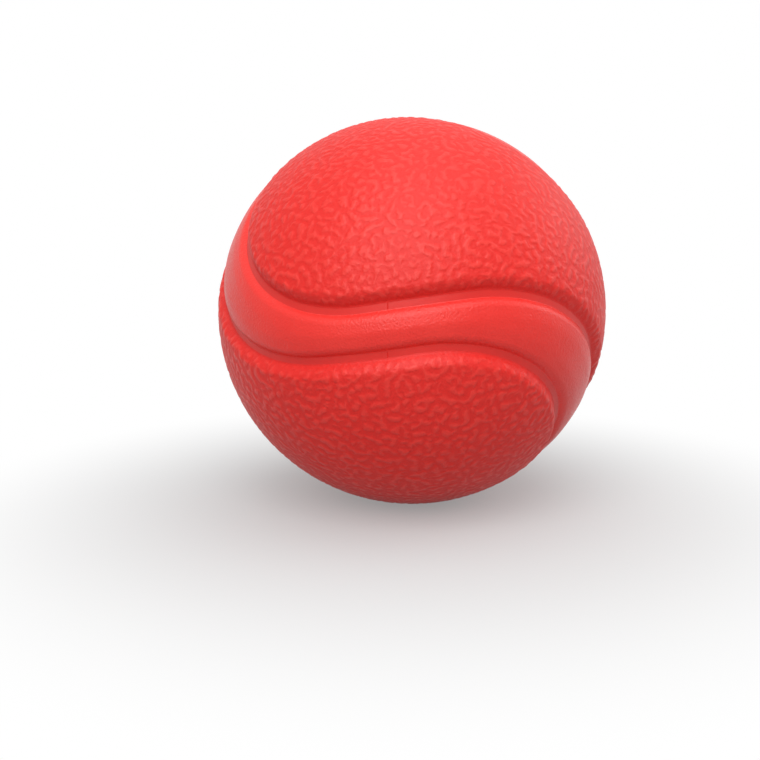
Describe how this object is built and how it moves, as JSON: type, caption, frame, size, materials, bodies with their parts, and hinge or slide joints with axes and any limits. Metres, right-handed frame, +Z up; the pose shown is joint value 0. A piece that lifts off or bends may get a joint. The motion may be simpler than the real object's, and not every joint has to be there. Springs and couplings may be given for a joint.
{
  "type": "dog ball",
  "caption": "Red rubber dog ball: hollow bonded core, grained dog-bone cover panels and a smooth raised rib in the winding channel between them.",
  "frame": {"origin": "centre of the ball", "axes": "+X through the waist of the upper cover panel and square to the core's joint plane, +Z up, with the seam crossing the front at -Y"},
  "size_m": [0.05, 0.0496, 0.0496],
  "materials": {
    "core_rubber": "smooth satin moulded rubber",
    "panel_rubber": "worm-grained moulded rubber",
    "band_rubber": "smooth satin moulded rubber"
  },
  "bodies": {
    "root": {"core_half_left": "core_rubber", "core_half_right": "core_rubber", "upper_cover_panel": "panel_rubber", "lower_cover_panel": "panel_rubber", "seam_band": "band_rubber"}
  },
  "joints": []
}
